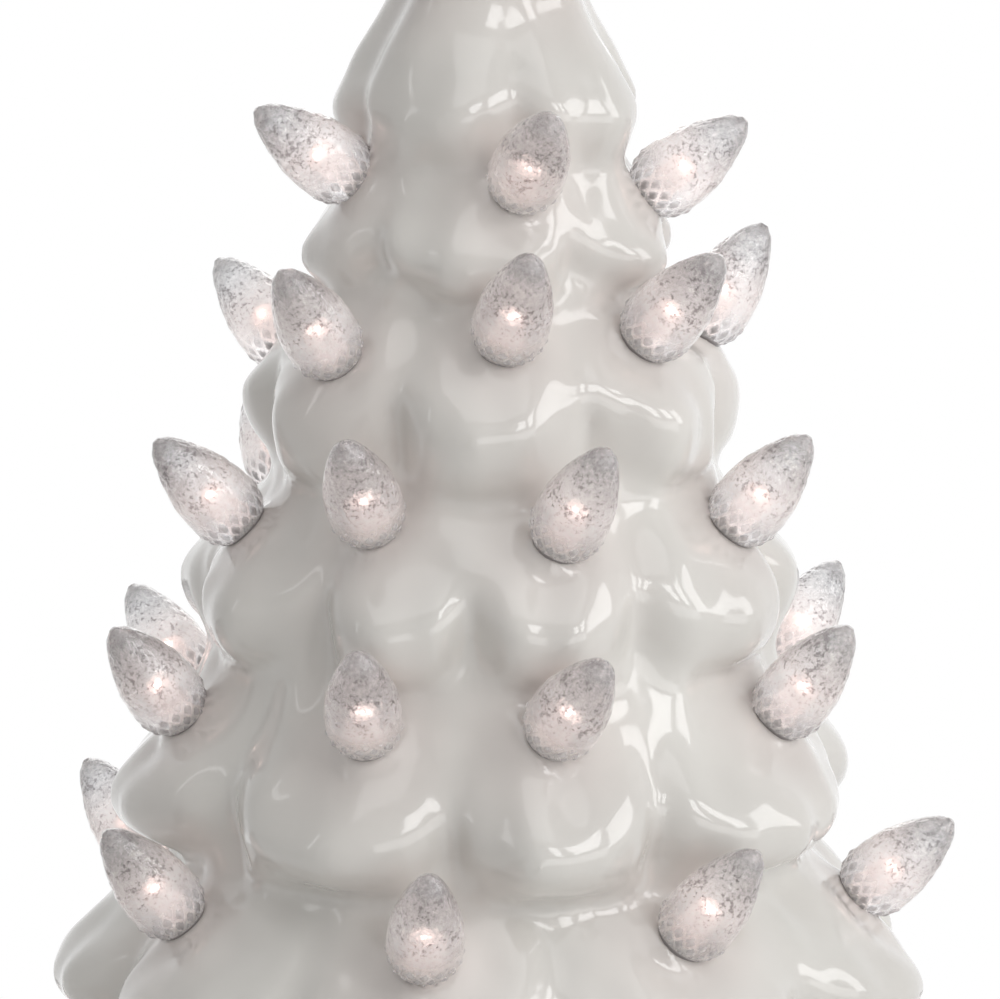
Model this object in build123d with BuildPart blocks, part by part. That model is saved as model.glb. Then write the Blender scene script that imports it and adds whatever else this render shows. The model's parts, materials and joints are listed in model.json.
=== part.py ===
from build123d import *
import os
from math import cos, radians, sin

# Lighted ceramic table tree: a lobed, glazed shell with faceted bulbs, on a battery base.
# Millimetres. +Z up, origin on the table under the trunk line, front towards -Y.
# A bearing of 0 faces the front and grows towards +X.

# Ceramic shell
WALL = 5.0
TOP_WALL = 12.0

# Each tier: lobe bearings, then radius and height of its lip and of its foot
CROWN_RADIUS = 8.6
CROWN_TOP = 310.0
TIERS = {
    "crown": ([-95, -32, 54, 125, 192], (30.5, 258.0), (26.0, 249.0)),
    "second": ([-160, -115, -72, -30, 2, 42, 112, 160], (39.0, 231.0), (32.0, 224.0)),
    "third": ([-138, -92, -44, 2, 42, 85, 130, 176], (51.0, 201.0), (44.0, 187.0)),
    "fourth": ([-155, -105, -55, -18, 10, 52, 105, 155], (63.5, 163.0), (55.0, 151.0)),
    "fifth": ([-165, -122, -78, -23, 10, 48, 122, 160], (76.5, 122.0), (63.0, 112.0)),
    "sixth": ([-160, -122, -85, -48, -10, 30, 74, 116, 158], (89.0, 85.0), (77.0, 76.0)),
    "skirt": ([-144, -108, -72, -36, 0, 36, 72, 108, 144, 180], (101.0, 48.0), (88.0, 36.0)),
}

# Skirt curve of a tier: share of the drop to its lip, share of its reach, valley radius over lobe radius
SLOPE = [
    (0.0, 0.0, 1.0), (0.2, 0.18, 0.98), (0.4, 0.40, 0.96), (0.6, 0.64, 0.93),
    (0.8, 0.87, 0.90), (0.92, 0.97, 0.88), (1.0, 1.0, 0.87),
]
# Underside of a tier: share of the hang below its lip, share of the tuck, valley radius over lobe radius
UNDERSIDE = [(0.3, 0.07, 0.87), (0.6, 0.27, 0.885), (0.85, 0.60, 0.93), (1.0, 1.0, 1.0)]
# The hollow follows every second row of the skirt curve and underside
HOLLOW_STEP = 2

# Bulbs of each tier, pushed in by hand: bearing and height of the hole, bearing and rise of the axis
BULBS = {
    "crown": [(45, 290, 45, 40), (135, 290, 135, 40), (225, 290, 225, 40), (315, 290, 315, 40)],
    "second": [
        (-66, 245, -74, 36), (11, 245, 20, 42), (84, 241, 78, 38), (148, 242, 148, 42), (212, 242, 212, 42),
    ],
    "third": [
        (-116, 206, -120, 44), (-45, 212, -40, 50), (4, 216, 20, 52), (49, 215, 60, 46),
        (91, 213, 95, 58), (150, 211, 150, 48), (202, 211, 202, 48),
    ],
    "fourth": [
        (-126, 177, -155, 48), (-70, 177, -75, 45), (-28, 181, -20, 50), (15, 179, 40, 54),
        (66, 177, 70, 50), (132, 177, 155, 48), (160, 177, 160, 48), (200, 177, 200, 48),
    ],
    "fifth": [
        (-116, 135, -125, 50), (-72, 139, -55, 50), (-23, 142, -5, 52), (11, 143, 35, 44),
        (62, 140, 70, 52), (112, 141, 125, 50), (160, 139, 160, 48), (201, 139, 201, 48),
    ],
    "sixth": [
        (-105, 101, -120, 50), (-57, 102, -66, 50), (-10, 101, 5, 55), (31, 103, 65, 50),
        (84, 100, 75, 40), (140, 100, 140, 48), (180, 100, 180, 48), (220, 100, 220, 48),
    ],
    "skirt": [(bearing, 53, bearing, 30) for bearing in range(0, 360, 36)],
}

# Bulb: faceted clear body on a collar and a stem
BULB_SINK = 1.3
BULB_FACETS = 10
FACET_RINGS = [(3.2, 5.3), (5.6, 6.9), (9.4, 7.8), (14.2, 7.5), (19.2, 6.0), (23.6, 3.9), (26.2, 1.9)]
COLLAR_RADIUS = 4.9
COLLAR_HEIGHT = 4.0
SPOT_RADIUS = 6.0
STEM_RADIUS = 4.0
STEM_LENGTH = 9.0
STEM_CLEARANCE = 0.15

# Lamp in each bulb
LED_RADIUS = 2.5
LED_STRAIGHT = 7.5
LED_FOOT = 3.0
POCKET_CLEARANCE = 0.25
SOCKET_CLEARANCE = 0.1
SOCKET_FLANGE_RADIUS = 4.5
SOCKET_FLANGE_HEIGHT = 3.0

# Light string
WIRE_RADIUS = 0.8
KNOT_RADIUS = 1.4
KNOT_LENGTH = 3.0

# Star on the crown
STAR_RADIUS = 20.0
STAR_WAIST = 8.5
STAR_HALF_DEPTH = 6.5
STAR_COLLAR_RADIUS = 7.4
STAR_COLLAR_HEIGHT = 3.0
STAR_PEG_LENGTH = 7.0
STAR_SINK = 3.0
STAR_SOCKET_GAP = 0.3
STAR_SOCKET_FLANGE = 5.5

# Base
FOOT_HEIGHT = 2.0
COVER_RECESS = 1.0
COVER_THICKNESS = 3.0
COVER_RADIUS = 88.0
COVER_CLEARANCE = 0.3
LEDGE = 4.0
DECK_THICKNESS = 6.0
DECK_HOLE_RADIUS = 64.0
GASKET = 1.5
SPIGOT_HEIGHT = 5.0
SPIGOT_WALL = 5.0
SPIGOT_CLEARANCE = 1.0
BASE_LOBES = list(range(-144, 181, 36))
# Outline of the base: share of its height, lobe radius, valley radius over lobe radius
BASE_OUTLINE = [
    (0.0, 100.0, 0.98), (0.15, 102.5, 0.96), (0.4, 103.0, 0.95), (0.7, 100.0, 0.96), (1.0, 93.0, 1.0),
]
FOOT_RADIUS = 4.0
FOOT_PLACE = 94.0
FOOT_COUNT = 4

# Cover fastening
POST_RADIUS = 5.5
POST_PLACE = 77.0
POST_BEARINGS = [0, 120, 240]
INSERT_RADIUS = 2.6
INSERT_LENGTH = 6.0
INSERT_CLEARANCE = 0.1
SCREW_RADIUS = 1.45
SCREW_CLEARANCE = 0.05
SCREW_HEAD_RADIUS = 2.8
SCREW_HEAD_HEIGHT = 1.6

# Battery bay for three AA cells
CELL_RADIUS = 7.25
CELL_LENGTH = 49.5
NUB_RADIUS = 2.75
NUB_LENGTH = 1.0
CELL_PITCH = 15.2
CELL_COUNT = 3
CELL_CLEARANCE = 0.4
CONTACT_ROOM = 4.2
TRAY_WALL = 1.6
TRAY_FLANGE = 4.0
TRAY_FLANGE_HEIGHT = 2.0
CONTACT_THICKNESS = 0.5
CONTACT_WIDTH = 8.0
TAB_REACH = 2.5
TRAY_SCREW_RADIUS = 1.0
TRAY_SCREW_HEAD_RADIUS = 1.8
TRAY_SCREW_HEAD_HEIGHT = 1.2
PILOT_DEPTH = 2.2
PILOT_ROOM = 0.3

# Battery door
DOOR_THICKNESS = 2.6
DOOR_GAP = 0.4
HINGE_LUG = 4.2
PIN_RADIUS = 0.6
PIN_CLEARANCE = 0.06
GRIP_WIDTH = 14.0
GRIP_DEPTH = 1.2

# Switch and control board
BOARD_X = 47.0
BOARD_WIDTH = 26.0
BOARD_LENGTH = 34.0
BOARD_THICKNESS = 1.6
SWITCH_WIDTH = 9.0
SWITCH_LENGTH = 15.0
SWITCH_HEIGHT = 5.0
KNOB_WIDTH = 2.8
KNOB_LENGTH = 3.2
KNOB_TRAVEL = 2.5
KNOB_CLEARANCE = 0.3
KNOB_PROUD = 1.2
KNOB_FLANGE = 1.4
KNOB_FLANGE_HEIGHT = 1.8
BOSS_RADIUS = 2.6
BOSS_INSET = 4.0
CHIP_SIZE = (6.0, 9.0, 1.4)
CHIP_Y = 6.0
LEAD_RADIUS = 0.8
LEAD_BEND = 4.0

# Heights that follow from the sizes above
COVER_BOTTOM = FOOT_HEIGHT + COVER_RECESS
COVER_TOP = COVER_BOTTOM + COVER_THICKNESS
SHELL_FOOT_RADIUS, SHELL_FOOT = TIERS["skirt"][2]
DECK_TOP = SHELL_FOOT - GASKET
DECK_BOTTOM = DECK_TOP - DECK_THICKNESS
STEM_HOLE_RADIUS = STEM_RADIUS + STEM_CLEARANCE
LED_POCKET_RADIUS = LED_RADIUS + POCKET_CLEARANCE
LED_HEIGHT = LED_STRAIGHT + LED_RADIUS

os.makedirs("parts", exist_ok=True)


def spot(radius, bearing, height=0.0):
    """Point at a bearing and radius round the trunk line."""
    return Vector(radius * sin(radians(bearing)), -radius * cos(radians(bearing)), height)


def heading(bearing, rise):
    """Unit direction that looks along a bearing and rises from the level."""
    return spot(cos(radians(rise)), bearing, sin(radians(rise)))


def scalloped(height, radius, valley, lobes):
    """Level outline with one round lobe at each bearing and a crease between neighbours."""
    follow = lobes[1:] + [lobes[0] + 360]
    creases = [(here + after) / 2 for here, after in zip(lobes, follow)]
    before = [creases[-1] - 360] + creases[:-1]
    with BuildSketch(Plane.XY.offset(height)) as outline:
        with BuildLine():
            for start, peak, end in zip(before, lobes, creases):
                ThreePointArc(
                    tuple(spot(radius * valley, start))[:2],
                    tuple(spot(radius, peak))[:2],
                    tuple(spot(radius * valley, end))[:2],
                )
        make_face()
    return outline.sketch


def tier_body(name, top, inset, step):
    """One tier of lobes from the foot of the tier above, drawn in by an inset, through every step-th row."""
    lobes, lip, foot = TIERS[name]
    rows = []
    for start, end, curve in ((top, lip, SLOPE[::step]), (lip, foot, UNDERSIDE[step - 1 :: step])):
        for drop, reach, valley in curve:
            rows.append((start[0] + reach * (end[0] - start[0]), start[1] + drop * (end[1] - start[1]), valley))
    with BuildPart() as body:
        loft(sections=[scalloped(z, r - inset, v, lobes) for r, z, v in rows], ruled=True)
    return body.part


def tier_stack(inset, step):
    """All tiers, each starting on the round neck that the one above ends in."""
    necks = [(CROWN_RADIUS, CROWN_TOP)] + [foot for lobes, lip, foot in TIERS.values()]
    return [tier_body(name, neck, inset, step) for name, neck in zip(TIERS, necks)]


def rod(start, end, radius):
    """Straight round bar between two points."""
    with BuildPart() as bar:
        with Locations(Plane(origin=start, z_dir=end - start)):
            Cylinder(radius, (end - start).length, align=(Align.CENTER, Align.CENTER, Align.MIN))
    return bar.part


# Outer form of the shell
with BuildPart() as outer:
    add(tier_stack(0.0, 1))

# Hollow of the shell
with BuildPart() as hollow:
    add(tier_stack(WALL, HOLLOW_STEP))
    split(bisect_by=Plane.XY.offset(CROWN_TOP - TOP_WALL), keep=Keep.BOTTOM)


def bulb_seat(bearing, height, aim, rise):
    """Seat plane of a bulb, sunk a little under the glaze, with its normal along the bulb."""
    reach = Edge.make_line((0, 0, height), spot(COVER_RADIUS * 2, bearing, height))
    inside = outer.part.solid().intersect(reach)
    surface = inside.vertices().sort_by_distance((0, 0, height))[-1]
    axis = heading(aim, rise)
    return Plane(origin=Vector(surface) - axis * BULB_SINK, z_dir=axis)


SEATS = {name: [bulb_seat(*bulb) for bulb in row] for name, row in BULBS.items()}
ALL_SEATS = [seat for row in SEATS.values() for seat in row]

# Tree shell: hollow ceramic with a spot-faced hole for each bulb and a hole for the star
with BuildPart() as tree_shell:
    add(outer.part)
    add(hollow.part, mode=Mode.SUBTRACT)
    with Locations(*[seat.offset(COLLAR_HEIGHT) for seat in ALL_SEATS]):
        CounterBoreHole(STEM_HOLE_RADIUS, SPOT_RADIUS, COLLAR_HEIGHT, COLLAR_HEIGHT + STEM_LENGTH)
    with Locations((0, 0, CROWN_TOP)):
        Hole(STEM_HOLE_RADIUS, 2 * TOP_WALL)
tree_shell.part.label = "tree_shell"
export_step(tree_shell.part, "parts/tree_shell.step")

# Faceted bulb with its collar, stem and lamp pocket
with BuildPart() as bulb:
    facets = []
    for row, (height, radius) in enumerate(FACET_RINGS):
        for step in range(BULB_FACETS):
            facets.append(spot(radius, (step + row / 2) * 360 / BULB_FACETS, height))
    ConvexPolyhedron(facets)
    Cylinder(COLLAR_RADIUS, COLLAR_HEIGHT, align=(Align.CENTER, Align.CENTER, Align.MIN))
    Cylinder(STEM_RADIUS, STEM_LENGTH, align=(Align.CENTER, Align.CENTER, Align.MAX))
    with Locations((0, 0, -STEM_LENGTH)):
        Cylinder(
            LED_POCKET_RADIUS,
            STEM_LENGTH + LED_FOOT + LED_HEIGHT + POCKET_CLEARANCE,
            align=(Align.CENTER, Align.CENTER, Align.MIN),
            mode=Mode.SUBTRACT,
        )

# Lamp with a domed end
with BuildPart() as led:
    with BuildSketch(Plane.XZ):
        with BuildLine():
            Line((0, 0), (LED_RADIUS, 0))
            Line((LED_RADIUS, 0), (LED_RADIUS, LED_STRAIGHT))
            RadiusArc((LED_RADIUS, LED_STRAIGHT), (0, LED_HEIGHT), -LED_RADIUS)
            Line((0, LED_HEIGHT), (0, 0))
        make_face()
    revolve(axis=Axis.Z)

# Socket: a plug that carries the lamp up the stem and a flange against the stem's end
with BuildPart() as led_socket:
    Cylinder(SOCKET_FLANGE_RADIUS, SOCKET_FLANGE_HEIGHT, align=(Align.CENTER, Align.CENTER, Align.MAX))
    Cylinder(
        LED_POCKET_RADIUS - SOCKET_CLEARANCE,
        STEM_LENGTH + LED_FOOT,
        align=(Align.CENTER, Align.CENTER, Align.MIN),
    )

# Bulbs, lamps and sockets of each tier
for name, seats in SEATS.items():
    with BuildPart() as bulbs:
        with Locations(*seats):
            add(bulb.part)
    bulbs.part.label = f"bulbs_{name}"
    export_step(bulbs.part, f"parts/bulbs_{name}.step")
    with BuildPart() as leds:
        with Locations(*[seat.offset(LED_FOOT) for seat in seats]):
            add(led.part)
    leds.part.label = f"leds_{name}"
    export_step(leds.part, f"parts/leds_{name}.step")
    with BuildPart() as led_sockets:
        with Locations(*[seat.offset(-STEM_LENGTH) for seat in seats]):
            add(led_socket.part)
    led_sockets.part.label = f"led_sockets_{name}"
    export_step(led_sockets.part, f"parts/led_sockets_{name}.step")

# Star topper: a clear faceted star on a collar, with a peg in the crown and a pocket for its lamp
STAR_CENTRE = CROWN_TOP + STAR_COLLAR_HEIGHT + STAR_RADIUS - STAR_SINK
STAR_SOCKET_TOP = CROWN_TOP - STAR_PEG_LENGTH - STAR_SOCKET_GAP
with BuildSketch(Plane(origin=(0, 0, STAR_CENTRE), x_dir=(1, 0, 0), z_dir=(0, -1, 0))) as star_outline:
    with BuildLine():
        corners = []
        for step in range(10):
            reach = STAR_WAIST if step % 2 else STAR_RADIUS
            corners.append((reach * sin(radians(36 * step)), reach * cos(radians(36 * step))))
        Polyline(*corners, close=True)
    make_face()
with BuildPart() as star_topper:
    loft(sections=[star_outline.sketch, Vertex(0, -STAR_HALF_DEPTH, STAR_CENTRE)])
    mirror(about=Plane.XZ)
    with Locations((0, 0, CROWN_TOP)):
        Cone(
            STAR_COLLAR_RADIUS,
            STAR_HALF_DEPTH,
            STAR_COLLAR_HEIGHT,
            align=(Align.CENTER, Align.CENTER, Align.MIN),
        )
        Cylinder(STEM_RADIUS, STAR_PEG_LENGTH, align=(Align.CENTER, Align.CENTER, Align.MAX))
        Cylinder(STEM_RADIUS, STAR_CENTRE - CROWN_TOP, align=(Align.CENTER, Align.CENTER, Align.MIN))
    with Locations((0, 0, CROWN_TOP - STAR_PEG_LENGTH)):
        Cylinder(
            LED_POCKET_RADIUS,
            LED_HEIGHT + POCKET_CLEARANCE,
            align=(Align.CENTER, Align.CENTER, Align.MIN),
            mode=Mode.SUBTRACT,
        )
star_topper.part.label = "star_topper"
export_step(star_topper.part, "parts/star_topper.step")

# Star lamp and its socket, which stay in the crown when the star lifts out
with BuildPart() as star_led:
    with Locations((0, 0, STAR_SOCKET_TOP)):
        add(led.part)
star_led.part.label = "star_led"
export_step(star_led.part, "parts/star_led.step")

CROWN_CEILING = CROWN_TOP - TOP_WALL
with BuildPart() as star_socket:
    with Locations((0, 0, CROWN_CEILING)):
        Cylinder(
            STEM_HOLE_RADIUS - SOCKET_CLEARANCE,
            STAR_SOCKET_TOP - CROWN_CEILING,
            align=(Align.CENTER, Align.CENTER, Align.MIN),
        )
        Cylinder(
            STAR_SOCKET_FLANGE,
            SOCKET_FLANGE_HEIGHT,
            align=(Align.CENTER, Align.CENTER, Align.MAX),
        )
star_socket.part.label = "star_socket"
export_step(star_socket.part, "parts/star_socket.step")

# Control board place and the lead that rises from it
BOARD_BOTTOM = COVER_TOP + SWITCH_HEIGHT
BOARD_TOP = BOARD_BOTTOM + BOARD_THICKNESS
RISER_FOOT = Vector(BOARD_X, -BOARD_LENGTH / 4, BOARD_TOP)
RISER_BEND = Vector(BOARD_X, -BOARD_LENGTH / 4, DECK_TOP + SPIGOT_HEIGHT + 2 * KNOT_RADIUS)


def knot_of(seat):
    """Point behind a socket where its wires meet."""
    return seat.offset(-STEM_LENGTH - SOCKET_FLANGE_HEIGHT - KNOT_LENGTH).origin


# Light string: a loop of wire through each tier's sockets, a trunk up the back and the riser from the board
trunk = [Vector(0, 0, CROWN_CEILING - SOCKET_FLANGE_HEIGHT - KNOT_LENGTH)]
wires = [rod(Vector(0, 0, CROWN_CEILING - SOCKET_FLANGE_HEIGHT), trunk[0], KNOT_RADIUS)]
for seats in SEATS.values():
    knots = [knot_of(seat) for seat in seats]
    for seat, knot in zip(seats, knots):
        tail = seat.offset(-STEM_LENGTH - SOCKET_FLANGE_HEIGHT).origin
        wires.append(rod(tail, knot, KNOT_RADIUS))
    for knot, after in zip(knots, knots[1:] + knots[:1]):
        wires.append(rod(knot, after, WIRE_RADIUS))
    trunk.append(max(knots, key=lambda knot: knot.Y))
for lower, upper in zip(trunk[1:], trunk):
    wires.append(rod(lower, upper, WIRE_RADIUS))
riser_end = min([knot_of(seat) for seat in SEATS["skirt"]], key=lambda knot: (knot - RISER_BEND).length)
wires.append(rod(RISER_FOOT, RISER_BEND, WIRE_RADIUS))
wires.append(rod(RISER_BEND, riser_end, WIRE_RADIUS))
with BuildPart() as light_string:
    with Locations(trunk[0], RISER_BEND, *[knot_of(seat) for seat in ALL_SEATS]):
        Sphere(KNOT_RADIUS)
    add(wires)
light_string.part.label = "light_string"
export_step(light_string.part, "parts/light_string.step")

# Ceramic base: scalloped mound with a deck for the tree, a centring spigot and posts for the cover
BASE_RISE = DECK_TOP - FOOT_HEIGHT
POSTS = [spot(POST_PLACE, bearing) for bearing in POST_BEARINGS]
SPIGOT_RADIUS = SHELL_FOOT_RADIUS - WALL - SPIGOT_CLEARANCE
with BuildPart() as base_stand:
    loft(sections=[scalloped(FOOT_HEIGHT + up * BASE_RISE, r, v, BASE_LOBES) for up, r, v in BASE_OUTLINE])
    with BuildSketch(Plane.XY.offset(DECK_TOP)):
        Circle(SPIGOT_RADIUS)
        Circle(SPIGOT_RADIUS - SPIGOT_WALL, mode=Mode.SUBTRACT)
    extrude(amount=SPIGOT_HEIGHT)
    with BuildSketch(Plane.XY.offset(FOOT_HEIGHT)):
        Circle(COVER_RADIUS)
    extrude(amount=COVER_TOP - FOOT_HEIGHT, mode=Mode.SUBTRACT)
    with BuildSketch(Plane.XY.offset(COVER_TOP)):
        Circle(COVER_RADIUS - LEDGE)
    extrude(amount=DECK_BOTTOM - COVER_TOP, mode=Mode.SUBTRACT)
    with BuildSketch(Plane.XY.offset(DECK_BOTTOM)):
        Circle(DECK_HOLE_RADIUS)
    extrude(amount=DECK_THICKNESS, mode=Mode.SUBTRACT)
    with BuildSketch(Plane.XY.offset(COVER_TOP)):
        with Locations(*[post for post in POSTS]):
            Circle(POST_RADIUS)
            Circle(INSERT_RADIUS + INSERT_CLEARANCE, mode=Mode.SUBTRACT)
    extrude(amount=DECK_BOTTOM - COVER_TOP)
base_stand.part.label = "base_stand"
export_step(base_stand.part, "parts/base_stand.step")

# Soft ring between the tree and its base
with BuildPart() as seat_gasket:
    with BuildSketch(Plane.XY.offset(DECK_TOP)):
        Circle(SHELL_FOOT_RADIUS)
        Circle(SPIGOT_RADIUS + SPIGOT_CLEARANCE, mode=Mode.SUBTRACT)
    extrude(amount=GASKET)
seat_gasket.part.label = "seat_gasket"
export_step(seat_gasket.part, "parts/seat_gasket.step")

# Feet under the rim of the base
with BuildPart() as rubber_feet:
    with BuildSketch():
        with PolarLocations(FOOT_PLACE, FOOT_COUNT, start_angle=45):
            Circle(FOOT_RADIUS)
    extrude(amount=FOOT_HEIGHT)
    chamfer(rubber_feet.faces().sort_by(Axis.Z)[:FOOT_COUNT].edges(), FOOT_HEIGHT / 4)
rubber_feet.part.label = "rubber_feet"
export_step(rubber_feet.part, "parts/rubber_feet.step")

# Brass inserts in the posts and the screws that hold the cover
with BuildPart() as threaded_inserts:
    with BuildSketch(Plane.XY.offset(COVER_TOP)):
        with Locations(*[post for post in POSTS]):
            Circle(INSERT_RADIUS)
            Circle(SCREW_RADIUS + SCREW_CLEARANCE, mode=Mode.SUBTRACT)
    extrude(amount=INSERT_LENGTH)
threaded_inserts.part.label = "threaded_inserts"
export_step(threaded_inserts.part, "parts/threaded_inserts.step")

with BuildPart() as cover_screws:
    with Locations(*[post + Vector(0, 0, COVER_BOTTOM) for post in POSTS]):
        Cylinder(SCREW_HEAD_RADIUS, SCREW_HEAD_HEIGHT, align=(Align.CENTER, Align.CENTER, Align.MIN))
        Cylinder(
            SCREW_RADIUS,
            COVER_THICKNESS + INSERT_LENGTH,
            align=(Align.CENTER, Align.CENTER, Align.MIN),
        )
cover_screws.part.label = "cover_screws"
export_step(cover_screws.part, "parts/cover_screws.step")

# Battery bay sizes
BAY_WIDTH = CELL_COUNT * CELL_PITCH + 2 * CELL_CLEARANCE
BAY_LENGTH = CELL_LENGTH + NUB_LENGTH + 2 * CONTACT_ROOM
CELL_CENTRE = COVER_TOP + CELL_RADIUS
BAY_TOP = CELL_CENTRE + CELL_RADIUS + CELL_CLEARANCE
DOOR_WIDTH = BAY_WIDTH + TRAY_WALL
DOOR_LENGTH = BAY_LENGTH + TRAY_WALL
HINGE_X = -DOOR_WIDTH / 2 + DOOR_THICKNESS / 2 + DOOR_GAP
HINGE_Z = COVER_BOTTOM + DOOR_THICKNESS / 2
LUG_END = HINGE_X + DOOR_THICKNESS / 2 + DOOR_GAP
TRAY_SCREW_X = BAY_WIDTH / 2 + TRAY_WALL + TRAY_FLANGE / 2
TRAY_SCREW_Y = BAY_LENGTH / 2 + TRAY_WALL + TRAY_FLANGE / 2
BOSS_Y = BOARD_LENGTH / 2 - BOSS_INSET
BOSS_X = BOARD_WIDTH / 2 - BOSS_INSET

# Bottom cover: disc with the battery opening, hinge lugs, switch slot and bosses for the board
with BuildPart() as bottom_cover:
    with BuildSketch(Plane.XY.offset(COVER_BOTTOM)):
        Circle(COVER_RADIUS - COVER_CLEARANCE)
        Rectangle(DOOR_WIDTH, DOOR_LENGTH, mode=Mode.SUBTRACT)
        with Locations((BOARD_X, 0)):
            SlotOverall(
                KNOB_LENGTH + 2 * (KNOB_TRAVEL + KNOB_CLEARANCE) + KNOB_WIDTH,
                KNOB_WIDTH + 2 * KNOB_CLEARANCE,
                rotation=90,
                mode=Mode.SUBTRACT,
            )
        with Locations(*[(LUG_END, side * DOOR_LENGTH / 2) for side in (-1, 1)]):
            Rectangle(LUG_END + DOOR_WIDTH / 2, 2 * HINGE_LUG, align=(Align.MAX, Align.CENTER))
    extrude(amount=COVER_THICKNESS)
    with BuildSketch(Plane.XY.offset(COVER_TOP)):
        with Locations(*[(BOARD_X + sx * BOSS_X, sy * BOSS_Y) for sx in (-1, 1) for sy in (-1, 1)]):
            Circle(BOSS_RADIUS)
    extrude(amount=SWITCH_HEIGHT)
    with Locations(Plane.XY.offset(BOARD_BOTTOM)):
        with Locations(*[(BOARD_X + sx * BOSS_X, sy * BOSS_Y) for sx in (-1, 1) for sy in (-1, 1)]):
            Hole(TRAY_SCREW_RADIUS + SCREW_CLEARANCE, SWITCH_HEIGHT)
    with Locations(Plane.XY.offset(COVER_TOP)):
        with Locations(*[(sx * TRAY_SCREW_X, sy * TRAY_SCREW_Y) for sx in (-1, 1) for sy in (-1, 1)]):
            Hole(TRAY_SCREW_RADIUS + SCREW_CLEARANCE, PILOT_DEPTH)
    with Locations(*[Plane(origin=post + Vector(0, 0, COVER_BOTTOM), z_dir=(0, 0, -1)) for post in POSTS]):
        CounterBoreHole(
            SCREW_RADIUS + SCREW_CLEARANCE,
            SCREW_HEAD_RADIUS + COVER_CLEARANCE,
            SCREW_HEAD_HEIGHT,
            COVER_THICKNESS,
        )
    with Locations(Plane(origin=(HINGE_X, 0, HINGE_Z), z_dir=(0, 1, 0))):
        Cylinder(PIN_RADIUS + PIN_CLEARANCE, DOOR_LENGTH, mode=Mode.SUBTRACT)
bottom_cover.part.label = "bottom_cover"
export_step(bottom_cover.part, "parts/bottom_cover.step")

# Hinge pin of the battery door
with BuildPart() as hinge_pin:
    with Locations(Plane(origin=(HINGE_X, 0, HINGE_Z), z_dir=(0, 1, 0))):
        Cylinder(PIN_RADIUS, DOOR_LENGTH - DOOR_GAP)
hinge_pin.part.label = "hinge_pin"
export_step(hinge_pin.part, "parts/hinge_pin.step")

# Battery door: plate with a rounded hinge edge and a finger groove at its free edge
BARREL_LENGTH = DOOR_LENGTH - 2 * (HINGE_LUG + DOOR_GAP)
DOOR_END = DOOR_WIDTH / 2 - DOOR_GAP
with BuildPart() as battery_door:
    with BuildSketch(Plane.XY.offset(COVER_BOTTOM)):
        with Locations((DOOR_END, 0)):
            Rectangle(
                DOOR_END - LUG_END - DOOR_GAP,
                DOOR_LENGTH - 2 * DOOR_GAP,
                align=(Align.MAX, Align.CENTER),
            )
            Rectangle(DOOR_END - HINGE_X, BARREL_LENGTH, align=(Align.MAX, Align.CENTER))
    extrude(amount=DOOR_THICKNESS)
    with Locations(Plane(origin=(HINGE_X, 0, HINGE_Z), z_dir=(0, 1, 0))):
        Cylinder(DOOR_THICKNESS / 2, BARREL_LENGTH)
        Cylinder(PIN_RADIUS + PIN_CLEARANCE, DOOR_LENGTH, mode=Mode.SUBTRACT)
    with BuildSketch(Plane.XY.offset(COVER_BOTTOM)):
        with Locations((DOOR_END - GRIP_WIDTH / 2, 0)):
            SlotOverall(GRIP_WIDTH * 2, GRIP_WIDTH / 3, rotation=90)
    extrude(amount=GRIP_DEPTH, mode=Mode.SUBTRACT)
battery_door.part.label = "battery_door"
export_step(battery_door.part, "parts/battery_door.step")

# Battery tray: box over the opening, open below, on a screwed flange
with BuildPart() as battery_tray:
    with BuildSketch(Plane.XY.offset(COVER_TOP)):
        Rectangle(BAY_WIDTH + 2 * TRAY_WALL, BAY_LENGTH + 2 * TRAY_WALL)
    extrude(amount=BAY_TOP + TRAY_WALL - COVER_TOP)
    fillet(battery_tray.edges().filter_by(Axis.Z), TRAY_WALL)
    with BuildSketch(Plane.XY.offset(COVER_TOP)):
        RectangleRounded(
            BAY_WIDTH + 2 * (TRAY_WALL + TRAY_FLANGE),
            BAY_LENGTH + 2 * (TRAY_WALL + TRAY_FLANGE),
            TRAY_FLANGE / 2,
        )
    extrude(amount=TRAY_FLANGE_HEIGHT)
    with BuildSketch(Plane.XY.offset(COVER_TOP)):
        Rectangle(BAY_WIDTH, BAY_LENGTH)
    extrude(amount=BAY_TOP - COVER_TOP, mode=Mode.SUBTRACT)
    with Locations(Plane.XY.offset(COVER_TOP + TRAY_FLANGE_HEIGHT)):
        with Locations(*[(sx * TRAY_SCREW_X, sy * TRAY_SCREW_Y) for sx in (-1, 1) for sy in (-1, 1)]):
            Hole(TRAY_SCREW_RADIUS + SCREW_CLEARANCE, TRAY_FLANGE_HEIGHT)
    with Locations(*[(side * CELL_PITCH, -side * BAY_LENGTH / 2, CELL_CENTRE) for side in (-1, 1)]):
        Box(CONTACT_WIDTH / 2, 3 * TRAY_WALL, 4 * CONTACT_THICKNESS, mode=Mode.SUBTRACT)
battery_tray.part.label = "battery_tray"
export_step(battery_tray.part, "parts/battery_tray.step")

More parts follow.
